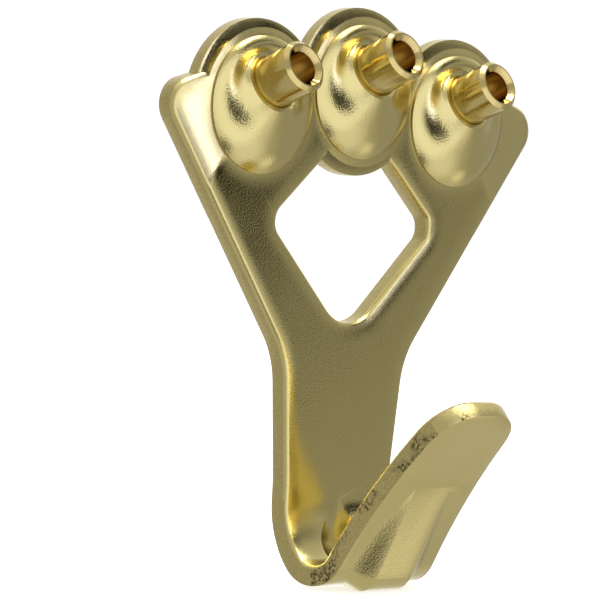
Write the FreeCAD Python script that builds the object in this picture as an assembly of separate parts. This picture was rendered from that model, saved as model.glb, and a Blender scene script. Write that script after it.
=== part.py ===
import FreeCAD, Part
import math
import os

os.makedirs("parts", exist_ok=True)

# Driving dimensions in millimetres. Z is up, the front faces -Y, the wall plane is Y = 0.
SHEET_T = 1.9            # thickness of the pressed steel sheet
EDGE_R = 0.45            # rounding of the sheet's front edges

LOBE_R = 7.95            # round lobe behind each nail guide
SIDE_LOBE_X = 13.1
SIDE_LOBE_Z = 27.9
MID_LOBE_RISE = 2.0      # how much higher the middle lobe stands
LOBE_EDGE_R = 0.85       # rounding of the lobes' front rims

EAR_X = 25.7             # sharp corner of the ear before it is rounded
EAR_ABOVE = 0.9          # its height above the side lobe's centre
EAR_R = 2.5
EAR_RISE = 0.30          # slope of the ear's top edge
EAR_INSET = 1.5          # where that edge goes under the lobe, past the lobe's centre
EAR_INSET_R = 2.0
NECK_X = 8.0             # sharp corner between arm and stem
NECK_Z = 4.7
NECK_R = 8.5
STEM_FOOT_X = 6.95       # half width of the stem at the bend
STEM_FOOT_Z = -7.0
FOOT_R = 25.0            # soft change from the stem's taper to the tongue's

HOLE_SIDE_X = 11.0       # the kite shaped window
HOLE_SIDE_Z = 17.4
HOLE_APEX_Z = 6.4        # its lower corner
HOLE_TOP_SLOPE = 0.92    # slope of its upper edges
HOLE_SIDE_R = 1.7
HOLE_APEX_R = 4.0

BEND_Z = -8.8            # where the stem starts to bend forward
EASE_R = 9.0             # outside radius of the bend's first, gentle part
EASE_TURN = 45.0         # degrees turned by that part
BEND_R = 3.9             # outside radius of the tight part
LIP_ANGLE = 60.0         # lip's rise from the horizontal where it leaves the bend, degrees
LIP_LEN = 19.35          # lip from the bend to its end
LIP_CURL_R = 70.0        # it curls gently outward with this radius
LIP_TAPER = 0.125        # half width lost per millimetre forward
LIP_END_R = 4.3          # rounded corners of the lip's end

DOME_R = 6.35            # raised circle of each dome
DOME_STEP = 0.45         # crisp step round the dome
DOME_CHAMFER = 0.2       # chamfer on the step's edge
SHOULDER_R = 5.7         # the dome rises steeply from the step to its shoulder,
SHOULDER_OUT = 0.72      # heights are in front of the sheet's face
CROWN_R = 4.9            # eases off over its crown
CROWN_OUT = 0.98
SADDLE_R = 3.9           # and turns up again to the collar
SADDLE_OUT = 1.12
GUIDE_TILT = 22.0        # nail angle above the horizontal, degrees
COLLAR_UP = 2.1          # collar centre above the lobe centre
COLLAR_OUT = 1.5         # collar centre in front of the sheet's face
COLLAR_R = 2.95
CAVITY_R = 4.9           # hollow behind the dome
CAVITY_Y = -0.55         # where the hollow starts to close in
SEAT_R = 3.2             # flat seat for the guide's flange
SEAT_T = 1.7             # metal left between collar top and seat
LEAD_IN = 0.25           # chamfer round the guide at the collar
LEAD_DEPTH = 0.15

GUIDE_R = 2.45           # turned brass nail guide
BORE_R = 1.5
GUIDE_OUT = 4.3          # length standing out of the collar
FLANGE_R = 3.0           # spread end behind the seat
FLANGE_T = 0.55
MOUTH_ROUND = 0.35       # broken outer edge of the mouth
MOUTH_CONE = 0.45        # chamfer that leads the nail in

RIB_RUN = 9.5            # stiffening rib pressed out across the bend: its run up the lip
RIB_LEAN = 4.0           # angle between rib and lip there, degrees
RIB_TURN = 80.0          # where the rib leaves the bend's outer face, degrees of turn
RIB_CORNER_R = 2.6       # its corner, seen from the side
RIB_FLAT = 2.3           # half width of its flat crown
RIB_FLANK = 2.7          # width of the flank on each side
RIB_FLANK_DROP = 1.5     # how far the flank falls away
RIB_SKIN = 0.95          # how deep the rib's metal reaches into the sheet
GROOVE_TOP_Z = -8.6      # the hollow of the rib on the inner face starts here
GROOVE_LEAN = 6.0        # angle between groove and stem, degrees
GROOVE_DEPTH = 1.25      # in the bend
GROOVE_R = 4.0           # its section
GROOVE_HALF = 3.6

SPARE = 3.0              # how far cutting shapes run past the metal they trim
FAR = 40.0               # a reach well beyond the whole part


def vec(x, y, z):
    return FreeCAD.Vector(x, y, z)


def rounded_prism(corners, depth_vector):
    # each corner is a point and the radius of the arc that rounds it, 0 for a sharp one
    count = len(corners)
    edges = []
    joints = []
    for i in range(count):
        here = corners[i][0]
        radius = corners[i][1]
        if radius == 0:
            joints.append((here, here, None))
            continue
        to_last = corners[i - 1][0].sub(here).normalize()
        to_next = corners[(i + 1) % count][0].sub(here).normalize()
        half = math.acos(max(-1.0, min(1.0, to_last.dot(to_next)))) / 2.0
        cut_back = radius / math.tan(half)
        middle = (to_last + to_next).normalize()
        crown = here + middle * (radius / math.sin(half) - radius)
        joints.append((here + to_last * cut_back, here + to_next * cut_back, crown))
    for i in range(count):
        start, end, crown = joints[i]
        if crown is not None:
            edges.append(Part.Arc(start, crown, end).toShape())
        after = joints[(i + 1) % count][0]
        if end.sub(after).Length > 1e-6:
            edges.append(Part.makeLine(end, after))
    return Part.Face(Part.Wire(edges)).extrude(depth_vector)


# Flat plate: arms, ears and stem as one prism, with the corners rounded
T = SHEET_T
Y_AXIS = vec(0, 1, 0)
through = vec(0, T, 0)
ear_z = SIDE_LOBE_Z + EAR_ABOVE
ear_in_x = SIDE_LOBE_X + EAR_INSET
ear_in_z = ear_z + (EAR_X - ear_in_x) * EAR_RISE
right_side = [
    (vec(STEM_FOOT_X, -T, BEND_Z), 0),
    (vec(STEM_FOOT_X, -T, STEM_FOOT_Z), FOOT_R),
    (vec(NECK_X, -T, NECK_Z), NECK_R),
    (vec(EAR_X, -T, ear_z), EAR_R),
    (vec(ear_in_x, -T, ear_in_z), EAR_INSET_R),
]
left_side = [(vec(-p.x, p.y, p.z), r) for p, r in reversed(right_side)]
plate = rounded_prism(right_side + left_side, through)

lobe_places = [
    ("left_nail_guide", -SIDE_LOBE_X, SIDE_LOBE_Z),
    ("middle_nail_guide", 0.0, SIDE_LOBE_Z + MID_LOBE_RISE),
    ("right_nail_guide", SIDE_LOBE_X, SIDE_LOBE_Z),
]
# Kite shaped window; the middle lobe closes its top with a scallop
top_z = HOLE_SIDE_Z + HOLE_SIDE_X * HOLE_TOP_SLOPE
window = rounded_prism(
    [
        (vec(0, -T - SPARE, HOLE_APEX_Z), HOLE_APEX_R),
        (vec(HOLE_SIDE_X, -T - SPARE, HOLE_SIDE_Z), HOLE_SIDE_R),
        (vec(0, -T - SPARE, top_z), HOLE_SIDE_R),
        (vec(-HOLE_SIDE_X, -T - SPARE, HOLE_SIDE_Z), HOLE_SIDE_R),
    ],
    vec(0, T + 2 * SPARE, 0),
)
plate = plate.cut(window)

# Bend and lip: a side profile carried across, then narrowed toward the lip's end
end_turn = 90.0 + LIP_ANGLE
ease_axis = vec(0, -EASE_R, BEND_Z)


def heading(turn):
    # outward direction of the sheet after it has turned by an angle
    rad = math.radians(turn)
    return vec(0, math.cos(rad), -math.sin(rad))


bend_axis = ease_axis + heading(EASE_TURN) * (EASE_R - BEND_R)
lip_out = heading(end_turn)
lip_dir = heading(end_turn + 90.0)


def on_ease(turn, depth):
    return ease_axis + heading(turn) * (EASE_R - depth)


def on_bend(turn, depth):
    return bend_axis + heading(turn) * (BEND_R - depth)


curl_axis = on_bend(end_turn, 0) + lip_out * LIP_CURL_R


def lip_face(run):
    # outward direction of the lip's outer face after a run along it
    turn = run / LIP_CURL_R
    return lip_out * math.cos(turn) - lip_dir * math.sin(turn)


def on_lip(run, depth):
    return curl_axis - lip_face(run) * (LIP_CURL_R + depth)


def strip(low, deep, half_width):
    # the bend and lip between two depths below the outer face
    half_ease = EASE_TURN / 2.0
    half_bend = (EASE_TURN + end_turn) / 2.0
    half_lip = LIP_LEN / 2.0
    edges = [
        Part.Arc(on_ease(0, low), on_ease(half_ease, low), on_ease(EASE_TURN, low)).toShape(),
        Part.Arc(on_bend(EASE_TURN, low), on_bend(half_bend, low), on_bend(end_turn, low)).toShape(),
        Part.Arc(on_lip(0, low), on_lip(half_lip, low), on_lip(LIP_LEN, low)).toShape(),
        Part.makeLine(on_lip(LIP_LEN, low), on_lip(LIP_LEN, deep)),
        Part.Arc(on_lip(LIP_LEN, deep), on_lip(half_lip, deep), on_lip(0, deep)).toShape(),
        Part.Arc(on_bend(end_turn, deep), on_bend(half_bend, deep), on_bend(EASE_TURN, deep)).toShape(),
        Part.Arc(on_ease(EASE_TURN, deep), on_ease(half_ease, deep), on_ease(0, deep)).toShape(),
        Part.makeLine(on_ease(0, deep), on_ease(0, low)),
    ]
    face = Part.Face(Part.Wire(edges))
    face.translate(vec(-half_width, 0, 0))
    return face.extrude(vec(2 * half_width, 0, 0))


tongue = strip(0, T, STEM_FOOT_X + SPARE)
turn_y = T + 0.1 + FOOT_R * math.tan(math.atan(LIP_TAPER) / 2.0)
far_x = STEM_FOOT_X - (FAR - turn_y) * LIP_TAPER
plan = rounded_prism(
    [
        (vec(STEM_FOOT_X, SPARE, -FAR), 0),
        (vec(STEM_FOOT_X, -turn_y, -FAR), FOOT_R),
        (vec(far_x, -FAR, -FAR), 0),
        (vec(-far_x, -FAR, -FAR), 0),
        (vec(-STEM_FOOT_X, -turn_y, -FAR), FOOT_R),
        (vec(-STEM_FOOT_X, SPARE, -FAR), 0),
    ],
    vec(0, 0, 2 * FAR),
)
tongue = tongue.common(plan)
tip_out = lip_face(LIP_LEN)
tip_way = tip_out.cross(vec(1, 0, 0))
tip_edges = []
for edge in tongue.Edges:
    if isinstance(edge.Curve, Part.Line):
        if abs(edge.tangentAt(edge.FirstParameter).dot(tip_out)) > 0.97:
            short = edge.CenterOfMass.sub(on_lip(LIP_LEN, 0)).dot(tip_way)
            if abs(short) < 0.05:
                tip_edges.append(edge)
tongue = tongue.makeFillet(LIP_END_R, tip_edges)
sheet = plate.fuse(tongue).removeSplitter()

# Rounded front edges, all along the outline, the window, the bend and the lip
front_edges = []
for edge in sheet.Edges:
    span = edge.LastParameter - edge.FirstParameter
    spots = [edge.valueAt(edge.FirstParameter + span * k / 4.0) for k in range(5)]
    flat = all(abs(p.y + T) < 1e-4 and p.z > BEND_Z - 1e-4 for p in spots)
    eased = all(abs(math.hypot(p.y - ease_axis.y, p.z - ease_axis.z) - EASE_R + T) < 1e-3 for p in spots)
    bent = all(abs(math.hypot(p.y - bend_axis.y, p.z - bend_axis.z) - BEND_R + T) < 1e-3 for p in spots)
    curled = all(abs(math.hypot(p.y - curl_axis.y, p.z - curl_axis.z) - LIP_CURL_R - T) < 1e-3 for p in spots)
    lipped = curled and spots[2].sub(bend_axis).dot(lip_dir) > 0
    tip = lipped and abs(spots[2].sub(on_lip(LIP_LEN, T)).dot(tip_way)) < 1e-3
    across = isinstance(edge.Curve, Part.Line) and abs(spots[2].x) < 1e-4
    if (flat or eased or bent or lipped) and (tip or not across):
        front_edges.append(edge)
sheet = sheet.makeFillet(EDGE_R, front_edges)

# Round lobes, their front rims rounded, that carry the domes
for name, lobe_x, lobe_z in lobe_places:
    lobe = Part.makeCylinder(LOBE_R, T, vec(lobe_x, -T, lobe_z), Y_AXIS)
    rim = [e for e in lobe.Edges if isinstance(e.Curve, Part.Circle) and e.Curve.Center.y < -T / 2.0]
    lobe = lobe.makeFillet(LOBE_EDGE_R, rim)
    sheet = sheet.fuse(lobe)

# Domes: a stepped circle that sweeps up to a tilted collar, hollow behind
tilt = math.radians(GUIDE_TILT)
guide_axis = vec(0, -math.cos(tilt), math.sin(tilt))
collar = vec(0, -T - COLLAR_OUT, COLLAR_UP)


def ring(radius, centre, lean):
    # a circle facing forward, leaned back by an angle about X, then moved to its centre
    circle = Part.Wire(Part.makeCircle(radius, vec(0, 0, 0), vec(0, -1, 0)))
    circle.rotate(vec(0, 0, 0), vec(1, 0, 0), -lean)
    circle.translate(centre)
    return circle


step_y = -T - DOME_STEP
shelf_r = DOME_R - DOME_CHAMFER
shelf = Part.makeLoft(
    [
        ring(DOME_R, vec(0, -T / 2.0, 0), 0),
        ring(DOME_R, vec(0, step_y + DOME_CHAMFER, 0), 0),
        ring(shelf_r, vec(0, step_y, 0), 0),
    ],
    True,
    True,
)
flare_rings = []
for radius, out, share in (
    (shelf_r, DOME_STEP, 0.0),
    (SHOULDER_R, SHOULDER_OUT, 0.05),
    (CROWN_R, CROWN_OUT, 0.2),
    (SADDLE_R, SADDLE_OUT, 0.5),
    (COLLAR_R, COLLAR_OUT, 1.0),
):
    # the share says how far a ring has gone towards the collar's height and lean
    flare_rings.append(ring(radius, vec(0, -T - out, COLLAR_UP * share), GUIDE_TILT * share))
flare = Part.makeLoft(flare_rings, True, False)
if flare.Volume < 0:
    flare.reverse()
seat = collar - guide_axis * SEAT_T
well = Part.makeCylinder(CAVITY_R, SPARE - CAVITY_Y, vec(0, CAVITY_Y, 0), Y_AXIS)
hollow = Part.makeLoft(
    [
        ring(CAVITY_R, vec(0, CAVITY_Y, 0), 0),
        ring(SEAT_R, seat, GUIDE_TILT),
    ],
    True,
    True,
)
socket = Part.makeCylinder(GUIDE_R, 2 * SPARE, collar - guide_axis * SPARE, guide_axis)
lead = Part.makeCone(GUIDE_R, GUIDE_R + LEAD_IN, LEAD_IN, collar - guide_axis * LEAD_DEPTH, guide_axis)
dome_body = shelf.fuse(flare)
dome_void = well.fuse(hollow).fuse(socket).fuse(lead)
for name, lobe_x, lobe_z in lobe_places:
    body = dome_body.copy()
    body.translate(vec(lobe_x, 0, lobe_z))
    sheet = sheet.fuse(body)
for name, lobe_x, lobe_z in lobe_places:
    void = dome_void.copy()
    void.translate(vec(lobe_x, 0, lobe_z))
    sheet = sheet.cut(void)


# Stiffening rib across the bend: its crown runs straight, round a corner and straight up the lip
def meeting(point, direction, other, other_direction):
    span = other.sub(point)
    cross = direction.y * other_direction.z - direction.z * other_direction.y
    return point + direction * ((span.y * other_direction.z - span.z * other_direction.y) / cross)


def swept_strip(start, corner, end, corner_r, section):
    # a section, given by its crown and the rest from left to right, along two runs and an arc
    way_in = corner.sub(start).normalize()
    way_out = end.sub(corner).normalize()
    half_angle = math.acos(max(-1.0, min(1.0, -way_in.dot(way_out)))) / 2.0
    cut_back = corner_r / math.tan(half_angle)
    inward = (way_out - way_in).normalize()
    crown = corner + inward * (corner_r / math.sin(half_angle) - corner_r)
    path = Part.Wire(
        [
            Part.makeLine(start, corner - way_in * cut_back),
            Part.Arc(corner - way_in * cut_back, crown, corner + way_out * cut_back).toShape(),
            Part.makeLine(corner + way_out * cut_back, end),
        ]
    )
    under = inward.sub(way_in * inward.dot(way_in)).normalize()
    edges = []
    for line in section:
        places = [start + vec(x, 0, 0) + under * drop for x, drop in line]
        if len(places) == 3:
            edges.append(Part.Arc(places[0], places[1], places[2]).toShape())
        else:
            edges.append(Part.makeLine(places[0], places[1]))
    return path.makePipeShell([Part.Wire(edges)], True, False)


up_rib = heading(end_turn + RIB_LEAN + 90.0)
rib_start = on_bend(RIB_TURN, 0)
rib_way = heading(RIB_TURN + 90.0)
rib_end = on_lip(RIB_RUN, 0)
rib_corner = meeting(rib_start, rib_way, rib_end, up_rib)
rib_half = RIB_FLAT + RIB_FLANK
rib_body = RIB_CORNER_R * 0.9
rib_section = [
    [(-rib_half, RIB_FLANK_DROP), (-RIB_FLAT, 0)],
    [(-RIB_FLAT, 0), (RIB_FLAT, 0)],
    [(RIB_FLAT, 0), (rib_half, RIB_FLANK_DROP)],
    [(rib_half, RIB_FLANK_DROP), (rib_half, rib_body)],
    [(rib_half, rib_body), (-rib_half, rib_body)],
    [(-rib_half, rib_body), (-rib_half, RIB_FLANK_DROP)],
]
rib_from = rib_start - rib_way * SPARE
rib_to = rib_end + up_rib * SPARE
rib = swept_strip(rib_from, rib_corner, rib_to, RIB_CORNER_R, rib_section)
rib = rib.common(strip(-SPARE, RIB_SKIN, STEM_FOOT_X))
groove_start = vec(0, -T, GROOVE_TOP_Z)
groove_way = heading(90.0 - GROOVE_LEAN)
groove_end = on_lip(RIB_RUN, T)
groove_corner = meeting(groove_start, groove_way, groove_end, up_rib)
half_turn = math.radians(180.0 - end_turn - RIB_LEAN - GROOVE_LEAN) / 2.0
to_bend = bend_axis.sub(groove_corner).Length - (BEND_R - T + GROOVE_DEPTH)
groove_corner_r = to_bend / (1.0 / math.sin(half_turn) - 1.0)
groove_drop = GROOVE_R - math.sqrt(GROOVE_R ** 2 - GROOVE_HALF ** 2)
groove_body = groove_drop + 0.1
groove_section = [
    [(-GROOVE_HALF, groove_drop), (0, 0), (GROOVE_HALF, groove_drop)],
    [(GROOVE_HALF, groove_drop), (GROOVE_HALF, groove_body)],
    [(GROOVE_HALF, groove_body), (-GROOVE_HALF, groove_body)],
    [(-GROOVE_HALF, groove_body), (-GROOVE_HALF, groove_drop)],
]
groove_from = groove_start - groove_way * SPARE
groove_to = groove_end + up_rib * SPARE
groove = swept_strip(groove_from, groove_corner, groove_to, groove_corner_r, groove_section)
sheet = sheet.fuse(rib)
sheet = sheet.cut(groove)
hook_plate = sheet.Solids[0]
hook_plate.exportStep("parts/hook_plate.step")

# Nail guides: turned brass bushings, spread into a flange inside the dome
for name, lobe_x, lobe_z in lobe_places:
    foot = seat - guide_axis * FLANGE_T
    length = GUIDE_OUT + SEAT_T + FLANGE_T
    guide = Part.makeCylinder(GUIDE_R, length, foot, guide_axis)
    mouth = foot + guide_axis * length
    circles = [e for e in guide.Edges if isinstance(e.Curve, Part.Circle)]
    rim = [e for e in circles if e.Curve.Center.sub(mouth).Length < 1e-4]
    guide = guide.makeChamfer(MOUTH_ROUND, rim)
    flange = Part.makeCylinder(FLANGE_R, FLANGE_T, foot, guide_axis)
    guide = guide.fuse(flange).removeSplitter()
    guide = guide.cut(Part.makeCylinder(BORE_R, length + 2, foot - guide_axis, guide_axis))
    cone = Part.makeCone(BORE_R, BORE_R + MOUTH_CONE, MOUTH_CONE, mouth - guide_axis * MOUTH_CONE, guide_axis)
    guide = guide.cut(cone)
    guide.translate(vec(lobe_x, 0, lobe_z))
    guide.Solids[0].exportStep("parts/" + name + ".step")
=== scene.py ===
import math

import bmesh
import bpy
import numpy as np
from mathutils import Matrix, Vector


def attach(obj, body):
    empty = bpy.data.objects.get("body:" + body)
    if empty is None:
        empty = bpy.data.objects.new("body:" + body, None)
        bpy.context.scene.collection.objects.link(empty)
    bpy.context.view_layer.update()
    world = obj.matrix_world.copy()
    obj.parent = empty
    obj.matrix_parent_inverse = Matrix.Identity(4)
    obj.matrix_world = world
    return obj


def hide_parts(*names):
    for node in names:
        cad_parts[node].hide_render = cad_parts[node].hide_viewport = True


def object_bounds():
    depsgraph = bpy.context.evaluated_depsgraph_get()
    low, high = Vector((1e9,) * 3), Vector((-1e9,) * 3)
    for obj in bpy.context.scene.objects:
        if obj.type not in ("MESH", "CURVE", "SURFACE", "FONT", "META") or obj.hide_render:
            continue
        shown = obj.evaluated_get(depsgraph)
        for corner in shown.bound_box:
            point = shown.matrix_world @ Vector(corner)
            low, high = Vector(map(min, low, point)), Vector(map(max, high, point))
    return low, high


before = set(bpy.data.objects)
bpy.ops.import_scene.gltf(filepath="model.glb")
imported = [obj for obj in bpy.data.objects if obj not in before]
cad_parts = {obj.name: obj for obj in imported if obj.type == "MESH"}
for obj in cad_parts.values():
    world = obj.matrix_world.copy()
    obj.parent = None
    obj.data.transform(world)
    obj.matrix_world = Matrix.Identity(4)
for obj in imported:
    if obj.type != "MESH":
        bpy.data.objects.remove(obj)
cad_low, cad_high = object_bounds()

# Hook plate: one piece of steel sheet, blanked, embossed into three domes, bent into the hook and
# brass plated after pressing. The faces keep a fine satin grain from the plating; the sheared edges
# all round the outline and the window are duller and rougher than the faces.
SMOOTH_BELOW = math.radians(24.0)
KEYS_PER_METRE = 1e7


def merged_points(points, corners):
    """Points that lie within a tenth of a micron of each other become one, so the loose triangles
    of a solid share their corners and can be shaded as one smooth skin."""
    keys = np.round(points * KEYS_PER_METRE).astype(np.int64)
    first, where = np.unique(keys, axis=0, return_index=True, return_inverse=True)[1:]
    triangles = where.reshape(-1)[corners]
    a, b, c = triangles.T
    whole = (a != b) & (b != c) & (c != a)
    return points[first], triangles[whole]


def mesh_points(mesh):
    """The points of a mesh as rows of x, y and z."""
    points = np.empty(len(mesh.vertices) * 3)
    mesh.vertices.foreach_get("co", points)
    return points.reshape(-1, 3)


def mesh_corners(mesh):
    """The three point numbers of each triangle of a mesh."""
    corners = np.empty(len(mesh.loops), np.int64)
    mesh.loops.foreach_get("vertex_index", corners)
    return corners.reshape(-1, 3)


def skin_of(node, piece_name, reshape=None):
    """A merged copy of a solid's triangles, smooth where faces meet at a small angle and crisp
    elsewhere, with the large faces deciding the normals so that flats stay flat."""
    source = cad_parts[node].data
    points, triangles = merged_points(mesh_points(source), mesh_corners(source))
    mesh = bpy.data.meshes.new(piece_name)
    mesh.from_pydata(points.tolist(), [], triangles.tolist())
    if reshape:
        points, triangles = reshape(mesh)
    mesh.shade_smooth()
    mesh.set_sharp_from_angle(angle=SMOOTH_BELOW)
    piece = bpy.data.objects.new(piece_name, mesh)
    bpy.context.scene.collection.objects.link(piece)
    weigh = piece.modifiers.new("flat faces first", "WEIGHTED_NORMAL")
    weigh.mode = "FACE_AREA"
    weigh.keep_sharp = True
    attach(piece, "root")
    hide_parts(node)
    return piece, points, triangles


# The rib springs from the bend without a step: the metal behind its root lies on the bend's outer
# face, which is a gentle arc and then a tight one when seen from the side
EASE_AXIS = (-0.009, -0.0088)
EASE_R = 0.009
BEND_AXIS = (-0.005394, -0.012406)
BEND_R = 0.0039
ARCS_MEET_DEG = 45.0
ROOT_Y = -0.00472
ROOT_TOP_Z = -0.0135
ROOT_HALF = 0.0051
ROOT_SLACK = 1e-4
ROOT_CUTS = 7
ONE_MICRON = 1e-6


def standing(points):
    """Which points lie behind the rib's root and outside the bend's outer face."""
    x, y, z = points.T
    behind = (np.abs(x) < ROOT_HALF) & (y > ROOT_Y) & (z < ROOT_TOP_Z)
    past_ease = np.hypot(y - EASE_AXIS[0], z - EASE_AXIS[1]) > EASE_R + ONE_MICRON
    past_bend = np.hypot(y - BEND_AXIS[0], z - BEND_AXIS[1]) > BEND_R + ONE_MICRON
    return behind & past_ease & past_bend


def root_laid_down(mesh):
    """Cuts the triangles behind the rib's root finely and moves their standing points straight towards
    the axis of the nearer arc, onto the bend's outer face."""
    shape = bmesh.new()
    shape.from_mesh(mesh)
    shape.verts.ensure_lookup_table()
    shape.edges.ensure_lookup_table()
    raised = np.flatnonzero(standing(mesh_points(mesh))).tolist()
    faces = {face for index in raised for face in shape.verts[index].link_faces}
    touched = [shape.edges[index] for index in sorted({edge.index for face in faces for edge in face.edges})]
    near = [edge for edge in touched if all(vert.co.y > ROOT_Y - ROOT_SLACK for vert in edge.verts)]
    bmesh.ops.subdivide_edges(shape, edges=near, cuts=ROOT_CUTS, use_grid_fill=True)
    bmesh.ops.triangulate(shape, faces=shape.faces)
    shape.to_mesh(mesh)
    shape.free()
    points = mesh_points(mesh)
    up = standing(points)
    turn = np.degrees(np.arctan2(EASE_AXIS[1] - points[:, 2], points[:, 1] - EASE_AXIS[0]))
    on_ease = turn < ARCS_MEET_DEG
    for axis, radius, arc in ((EASE_AXIS, EASE_R, on_ease), (BEND_AXIS, BEND_R, ~on_ease)):
        reach = points[:, 1:] - axis
        lowered = axis + reach * radius / np.linalg.norm(reach, axis=1, keepdims=True)
        points[:, 1:] = np.where((up & arc)[:, None], lowered, points[:, 1:])
    mesh.vertices.foreach_set("co", points.ravel())
    mesh.update()
    return points, mesh_corners(mesh)


plate, plate_points, plate_triangles = skin_of("hook_plate", "pressed_plate", root_laid_down)


def facet_normals(points, triangles):
    """Unit normal of each triangle, from the cross product of two of its sides."""
    a = points[triangles[:, 0]]
    normal = np.cross(points[triangles[:, 1]] - a, points[triangles[:, 2]] - a)
    return normal / np.maximum(np.linalg.norm(normal, axis=1, keepdims=True), 1e-30)


def marked(piece, name, share):
    """Gives each triangle of a piece its share of a finish, from 0 to 1, which the material reads."""
    mark = piece.data.attributes.new(name, "FLOAT", "FACE")
    mark.data.foreach_set("value", share.astype(np.float32))


# The sheared walls of the flat plate stand square to the wall plane; those of the hook face left
# and right, and the one round the lip's end stands square to the lip
BEND_START_Z = -0.0088
PLATE_FRONT_Y = -0.0021
LIP_BEFORE_Y = -0.0085
LIP_END_RISE = math.radians(44.2)
LIP_FACE = (0.0, -math.sin(LIP_END_RISE), -math.cos(LIP_END_RISE))
SQUARE = 0.05
SIDEWAYS = 0.9
normals = facet_normals(plate_points, plate_triangles)
middles = plate_points[plate_triangles].mean(axis=1)
on_plate = (middles[:, 2] > BEND_START_Z) & (middles[:, 1] > PLATE_FRONT_Y)
on_lip = middles[:, 1] < LIP_BEFORE_Y
sheared = np.where(on_plate, np.abs(normals[:, 1]) < SQUARE, np.abs(normals[:, 0]) > SIDEWAYS)
sheared |= on_lip & (np.abs(normals @ LIP_FACE) < SQUARE)
marked(plate, "sheared", sheared)

# The shear tore the metal more round the hook, where the walls carry dark broken grains
TORN_BEFORE_Y = -0.0056
marked(plate, "torn", sheared & (middles[:, 1] < TORN_BEFORE_Y))

# The level sheet is marked apart from the domes, which stand in front of it
DOMES_BEFORE_Y = -0.00195
marked(plate, "level", middles[:, 1] > DOMES_BEFORE_Y)

# Round each dome the press keeps the lobe's rim almost flat
LOBE_CENTRES = np.array([(-0.0131, 0.0279), (0.0, 0.0299), (0.0131, 0.0279)])
RIM_INSIDE = 0.0064
RIM_OUTSIDE = 0.0080
FLATTENED = 0.92
FRONTWARD = -0.2
DEAD_FLAT = -0.9995
from_lobes = np.linalg.norm(middles[:, None, (0, 2)] - LOBE_CENTRES, axis=2).min(axis=1)
sloping = (normals[:, 1] < FRONTWARD) & (normals[:, 1] > DEAD_FLAT)
rims = (from_lobes > RIM_INSIDE) & (from_lobes < RIM_OUTSIDE) & sloping
marked(plate, "flattened", FLATTENED * rims)


def node_of(tree, kind, **values):
    """Adds a shader node and sets its plain properties."""
    node = tree.nodes.new(kind)
    for key, value in values.items():
        setattr(node, key, value)
    return node


def mark_of(tree, name):
    """The share that each triangle was given under a name."""
    return node_of(tree, "ShaderNodeAttribute", attribute_name=name).outputs["Fac"]


def noise_at(tree, coordinates, per_metre, detail, roughness):
    """Noise on the object's own coordinates, with a number of cells per metre."""
    noise = node_of(tree, "ShaderNodeTexNoise")
    noise.inputs["Scale"].default_value = per_metre
    noise.inputs["Detail"].default_value = detail
    noise.inputs["Roughness"].default_value = roughness
    tree.links.new(coordinates, noise.inputs["Vector"])
    return noise.outputs["Fac"]


def mapped(tree, value, low, high, to_low, to_high):
    """A value moved from one range to another, held at the ends."""
    span = node_of(tree, "ShaderNodeMapRange")
    span.inputs["From Min"].default_value = low
    span.inputs["From Max"].default_value = high
    span.inputs["To Min"].default_value = to_low
    span.inputs["To Max"].default_value = to_high
    tree.links.new(value, span.inputs["Value"])
    return span.outputs["Result"]


def painted(tree, share, under, over):
    """One colour laid over another by a share; each is a fixed colour or comes from other nodes."""
    mix = node_of(tree, "ShaderNodeMix", data_type="RGBA")
    tree.links.new(share, mix.inputs["Factor"])
    for side, colour in (("A", under), ("B", over)):
        if isinstance(colour, tuple):
            mix.inputs[side].default_value = (*colour, 1.0)
        else:
            tree.links.new(colour, mix.inputs[side])
    return mix.outputs["Result"]


def product(tree, first, second):
    """Two values multiplied."""
    step = node_of(tree, "ShaderNodeMath", operation="MULTIPLY")
    tree.links.new(first, step.inputs[0])
    tree.links.new(second, step.inputs[1])
    return step.outputs["Value"]


def vectors(tree, operation, first, second=None):
    """One step of arithmetic on a place or a direction, alone or with another one."""
    step = node_of(tree, "ShaderNodeVectorMath", operation=operation)
    tree.links.new(first, step.inputs[0])
    if isinstance(second, tuple):
        step.inputs[1].default_value = second
    elif second is not None:
        tree.links.new(second, step.inputs[1])
    return step


# Colours and grain of the plating: a slow cloud of paler and deeper brass on the faces, and browner
# walls whose torn stretches carry dark grains in patches
GRAINS_PER_METRE = 6200.0
CLOUDS_PER_METRE = 260.0
PATCHES_PER_METRE = 420.0
TEARS_PER_METRE = 3600.0
DEEP_FACE = (0.60, 0.505, 0.205)
PALE_FACE = (0.69, 0.585, 0.245)
DEEP_WALL = (0.44, 0.36, 0.14)
PALE_WALL = (0.56, 0.46, 0.19)
TORN_GRAIN = (0.12, 0.10, 0.045)
WALL_ROUGHNESS = 0.33
plating = bpy.data.materials.new("satin_brass_plating")
plating.use_nodes = True
tree = plating.node_tree
brass = tree.nodes["Principled BSDF"]
brass.inputs["Metallic"].default_value = 1.0
place = node_of(tree, "ShaderNodeTexCoord").outputs["Object"]
grain = noise_at(tree, place, GRAINS_PER_METRE, 1.0, 0.5)
cloud = noise_at(tree, place, CLOUDS_PER_METRE, 3.0, 0.55)
wall = mark_of(tree, "sheared")
face_colour = painted(tree, cloud, DEEP_FACE, PALE_FACE)
wall_colour = painted(tree, mapped(tree, grain, 0.35, 0.60, 0.0, 1.0), DEEP_WALL, PALE_WALL)
patches = mapped(tree, noise_at(tree, place, PATCHES_PER_METRE, 2.0, 0.6), 0.51, 0.64, 0.0, 1.0)
broken = mapped(tree, noise_at(tree, place, TEARS_PER_METRE, 2.0, 0.6), 0.44, 0.56, 1.0, 0.0)
tears = product(tree, mark_of(tree, "torn"), product(tree, patches, broken))
wall_colour = painted(tree, tears, wall_colour, TORN_GRAIN)
tree.links.new(painted(tree, wall, face_colour, wall_colour), brass.inputs["Base Color"])
dull = node_of(tree, "ShaderNodeMix", data_type="FLOAT")
dull.inputs["B"].default_value = WALL_ROUGHNESS
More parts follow.
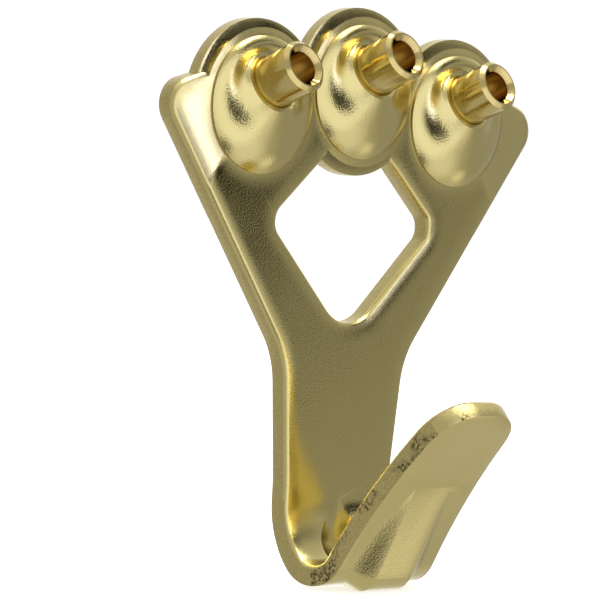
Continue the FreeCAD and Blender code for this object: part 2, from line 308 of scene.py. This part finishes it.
tree.links.new(wall, dull.inputs["Factor"])
tree.links.new(mapped(tree, cloud, 0.3, 0.7, 0.10, 0.16), dull.inputs["A"])
tree.links.new(dull.outputs["Result"], brass.inputs["Roughness"])

# Shearing and embossing draw the sheet's skin in along every edge, far less than a full rounding
DRAWN_IN = 0.0026
DRAWN_SHARE = 0.28
FRONT = (0.0, -1.0, 0.0)
rolled = node_of(tree, "ShaderNodeBevel", samples=6)
rolled.inputs["Radius"].default_value = DRAWN_IN
straight = node_of(tree, "ShaderNodeNewGeometry").outputs["Normal"]
skin = node_of(tree, "ShaderNodeMix", data_type="VECTOR")
skin.inputs["Factor"].default_value = DRAWN_SHARE
tree.links.new(straight, skin.inputs["A"])
tree.links.new(rolled.outputs["Normal"], skin.inputs["B"])
eased = node_of(tree, "ShaderNodeMix", data_type="VECTOR")
eased.inputs["B"].default_value = FRONT
tree.links.new(mark_of(tree, "flattened"), eased.inputs["Factor"])
tree.links.new(skin.outputs["Result"], eased.inputs["A"])

# The ears fall back a little, as the press leaves them: past a slanting line across the arm, and
# below the lobe's upper rim, the skin leans outwards at an even slope, front and back alike
EAR_WAY = (0.8, 0.0, 0.6)
EAR_START = 0.0268
EAR_EVEN = 0.0286
EAR_SLOPE = math.tan(math.radians(11.0))
EAR_TOP_Z = 0.0290
UPPER_RIM_Z = 0.0306
UP = (0.0, 0.0, 1.0)
mirrored = vectors(tree, "ABSOLUTE", place).outputs["Vector"]
outward = vectors(tree, "DOT_PRODUCT", mirrored, EAR_WAY).outputs["Value"]
past = mapped(tree, outward, EAR_START, EAR_EVEN, 0.0, EAR_SLOPE)
past.node.interpolation_type = "SMOOTHSTEP"
height = vectors(tree, "DOT_PRODUCT", place, UP).outputs["Value"]
below_rim = mapped(tree, height, EAR_TOP_Z, UPPER_RIM_Z, 1.0, 0.0)
level = mark_of(tree, "level")
facing = vectors(tree, "DOT_PRODUCT", straight, FRONT).outputs["Value"]
fall = product(tree, product(tree, product(tree, past, below_rim), level), facing)
sides = vectors(tree, "SIGN", place).outputs["Vector"]
lean = vectors(tree, "SCALE", vectors(tree, "MULTIPLY", sides, EAR_WAY).outputs["Vector"])
tree.links.new(fall, lean.inputs["Scale"])
swept = vectors(tree, "ADD", eased.outputs["Result"], lean.outputs["Vector"]).outputs["Vector"]
swept_back = vectors(tree, "NORMALIZE", swept).outputs["Vector"]

# The grain stands out more on the domes and the hook, where the metal was stretched
STRETCHED_GRAIN = 0.42
LEVEL_GRAIN = 0.20
GRAIN_HEIGHT = 0.00003
bump = node_of(tree, "ShaderNodeBump")
bump.inputs["Distance"].default_value = GRAIN_HEIGHT
tree.links.new(mapped(tree, level, 0.0, 1.0, STRETCHED_GRAIN, LEVEL_GRAIN), bump.inputs["Strength"])
tree.links.new(grain, bump.inputs["Height"])
tree.links.new(swept_back, bump.inputs["Normal"])
tree.links.new(bump.outputs["Normal"], brass.inputs["Normal"])
plate.data.materials.append(plating)

# Nail guides: three turned brass bushings pressed through the domes at a slant. The lathe leaves
# fine rings round each barrel, and the turned metal is brighter and more golden than the plating.
GUIDE_TILT = math.radians(22.0)
GUIDE_AXIS = (0.0, -math.cos(GUIDE_TILT), math.sin(GUIDE_TILT))
INSIDE_BORE = 0.0016
RINGS_PER_METRE = 5000.0
RING_HEIGHT = 0.00002
TARNISH_PER_METRE = 700.0
DEEP_BARREL = (0.54, 0.42, 0.15)
PALE_BARREL = (0.68, 0.55, 0.23)
# Inside the bore the brass is painted a little darker and browner: painted shade in the hole
SHADED_BORE_COLOUR = (0.52, 0.38, 0.16)
turned = bpy.data.materials.new("bright_turned_brass")
turned.use_nodes = True
tree = turned.node_tree
brass = tree.nodes["Principled BSDF"]
brass.inputs["Metallic"].default_value = 1.0
place = node_of(tree, "ShaderNodeTexCoord").outputs["Object"]
rings = node_of(tree, "ShaderNodeTexNoise", noise_dimensions="1D")
rings.inputs["Scale"].default_value = RINGS_PER_METRE
rings.inputs["Detail"].default_value = 2.0
tree.links.new(vectors(tree, "DOT_PRODUCT", place, GUIDE_AXIS).outputs["Value"], rings.inputs["W"])
tarnish = noise_at(tree, place, TARNISH_PER_METRE, 3.0, 0.6)
barrel = painted(tree, tarnish, DEEP_BARREL, PALE_BARREL)
# The bore's faces take the darker colour, as painted shade in the hole
tree.links.new(painted(tree, mark_of(tree, "bore"), barrel, SHADED_BORE_COLOUR), brass.inputs["Base Color"])
tree.links.new(mapped(tree, tarnish, 0.3, 0.7, 0.08, 0.15), brass.inputs["Roughness"])
bump = node_of(tree, "ShaderNodeBump")
bump.inputs["Strength"].default_value = 0.25
bump.inputs["Distance"].default_value = RING_HEIGHT
tree.links.new(rings.outputs["Fac"], bump.inputs["Height"])
tree.links.new(bump.outputs["Normal"], brass.inputs["Normal"])
axis = np.array(GUIDE_AXIS)
for side in ("left", "middle", "right"):
    guide, points, triangles = skin_of(side + "_nail_guide", side + "_bushing")
    guide.data.materials.append(turned)
    spokes = points[triangles].mean(axis=1) - points.mean(axis=0)
    spokes -= (spokes @ axis)[:, None] * axis
    marked(guide, "bore", np.linalg.norm(spokes, axis=1) < INSIDE_BORE)

# Floor: a wide flat sheet of pale paper at the level of the hook's foot. It glows a little, so that
# it stays as pale as what is behind it and no horizon line shows.
FLOOR_REACH = 3.0
PAPER_WHITE = (0.93, 0.93, 0.92, 1.0)
PAPER_GLOW = 0.6
corner_signs = np.array([(-1, -1), (1, -1), (1, 1), (-1, 1)])
floor_points = np.column_stack((corner_signs * FLOOR_REACH, np.full(4, cad_low.z)))
floor_mesh = bpy.data.meshes.new("floor")
floor_mesh.from_pydata(floor_points.tolist(), [], [(0, 1, 2, 3)])
floor = bpy.data.objects.new("floor", floor_mesh)
bpy.context.scene.collection.objects.link(floor)
paper = bpy.data.materials.new("pale_paper")
paper.use_nodes = True
sheet = paper.node_tree.nodes["Principled BSDF"]
sheet.inputs["Base Color"].default_value = PAPER_WHITE
sheet.inputs["Roughness"].default_value = 0.9
sheet.inputs["Emission Color"].default_value = (1.0, 1.0, 1.0, 1.0)
sheet.inputs["Emission Strength"].default_value = PAPER_GLOW
floor.data.materials.append(paper)
floor.visible_glossy = False

# Camera: a long lens a third of a metre away, to the left of the hook's front and level with it,
# turned a little about its own axis so that the hook leans right.
YAW = math.radians(-44.61)
RISE = math.radians(1.788)
ROLL = math.radians(3.47)
DISTANCE = 0.3145
AIM = Vector((0.0, 0.0, 0.010))
SHIFT_RIGHT = 0.00342
SHIFT_UP = -0.000084
LENS = 198.4
right = Vector((math.cos(YAW), math.sin(YAW), 0.0))
back = Vector((math.sin(YAW) * math.cos(RISE), -math.cos(YAW) * math.cos(RISE), math.sin(RISE)))
up = back.cross(right)
rolled_right = right * math.cos(ROLL) + up * math.sin(ROLL)
rolled_up = up * math.cos(ROLL) - right * math.sin(ROLL)
eye = AIM + back * DISTANCE - rolled_right * SHIFT_RIGHT - rolled_up * SHIFT_UP
lens = bpy.data.cameras.new("camera")
lens.lens = LENS
lens.sensor_width = 36.0
lens.clip_start = 0.01
lens.clip_end = 100.0
camera = bpy.data.objects.new("camera", lens)
bpy.context.scene.collection.objects.link(camera)
turn = Matrix((rolled_right, rolled_up, back)).transposed()
camera.matrix_world = Matrix.Translation(eye) @ turn.to_4x4()
bpy.context.scene.camera = camera

# Studio: a pale tent all round the hook, with white cards that light the ears, the domes and the rib,
# and grey and black flags that give the brass its dark bands. One broad soft light hangs overhead.
TENT_STRENGTH = 1.05
WHITE = (1.0, 1.0, 1.0)
world = bpy.data.worlds.new("white_tent")
bpy.context.scene.world = world
world.use_nodes = True
tree = world.node_tree
sky = tree.nodes["Background"]
direction = node_of(tree, "ShaderNodeTexCoord").outputs["Generated"]


def toward(azimuth, elevation, near, far):
    """How much a direction points at a place in the tent, given by its angle to the right of straight
    ahead and above the horizon: 1 within the near angle and 0 beyond the far one, smooth between."""
    a, e = math.radians(azimuth), math.radians(elevation)
    way = (math.sin(a) * math.cos(e), -math.cos(a) * math.cos(e), math.sin(e))
    facing = vectors(tree, "DOT_PRODUCT", direction, way).outputs["Value"]
    share = mapped(tree, facing, math.cos(math.radians(far)), math.cos(math.radians(near)), 0.0, 1.0)
    share.node.interpolation_type = "SMOOTHSTEP"
    return share


def hung(cloth, place, colour):
    """A card or flag of one colour hung in the tent, over what is there already."""
    return painted(tree, toward(*place), cloth, colour)


# Broad cards and flags
tent = hung((0.55, 0.55, 0.55), (135.0, 0.0, 20.0, 70.0), (1.1, 1.1, 1.1))
tent = hung(tent, (114.0, -11.0, 8.0, 18.0), (0.60, 0.60, 0.58))
tent = hung(tent, (0.0, 90.0, 15.0, 50.0), WHITE)
tent = hung(tent, (70.0, -60.0, 30.0, 60.0), (0.61, 0.60, 0.58))
tent = hung(tent, (20.0, -36.0, 10.0, 26.0), (0.95, 0.96, 1.04))
tent = hung(tent, (75.0, -6.0, 15.0, 40.0), (0.40, 0.40, 0.40))

# The rib's crest, the domes' upper and left sides, and the rib's near flank
tent = hung(tent, (60.0, -36.0, 4.0, 9.0), (1.0, 0.99, 0.97))
tent = hung(tent, (38.0, 34.0, 8.0, 20.0), (0.12, 0.12, 0.12))
tent = hung(tent, (-6.0, 3.0, 32.0, 42.0), (1.22, 1.25, 1.42))
tent = hung(tent, (-13.0, -45.0, 6.0, 11.0), (0.05, 0.05, 0.05))

# The dark patch beside each guide, then the ears, the left arm and the stem
tent = hung(tent, (14.0, 1.0, 7.0, 13.0), (0.03, 0.03, 0.03))
tent = hung(tent, (27.0, 11.0, 4.0, 9.0), (2.4, 2.5, 4.0))
tent = hung(tent, (40.0, 3.0, 5.0, 9.0), (0.01, 0.01, 0.01))
tent = hung(tent, (51.0, -5.0, 5.5, 9.5), (0.36, 0.36, 0.36))

# Seen directly, the tent is plain white
seen = node_of(tree, "ShaderNodeLightPath").outputs["Is Camera Ray"]
tree.links.new(painted(tree, seen, tent, WHITE), sky.inputs["Color"])
sky.inputs["Strength"].default_value = TENT_STRENGTH

SOFTBOX_SIDE = 0.30
SOFTBOX_WATTS = 1.5
SOFTBOX_PLACE = Vector((0.10, -0.10, 0.45))
overhead = bpy.data.lights.new("overhead_softbox", "AREA")
overhead.shape = "RECTANGLE"
overhead.size = SOFTBOX_SIDE
overhead.size_y = SOFTBOX_SIDE
overhead.energy = SOFTBOX_WATTS
softbox = bpy.data.objects.new("overhead_softbox", overhead)
bpy.context.scene.collection.objects.link(softbox)
softbox.location = SOFTBOX_PLACE
softbox.rotation_euler = SOFTBOX_PLACE.to_track_quat("Z", "Y").to_euler()
bpy.context.scene.view_settings.view_transform = "Standard"
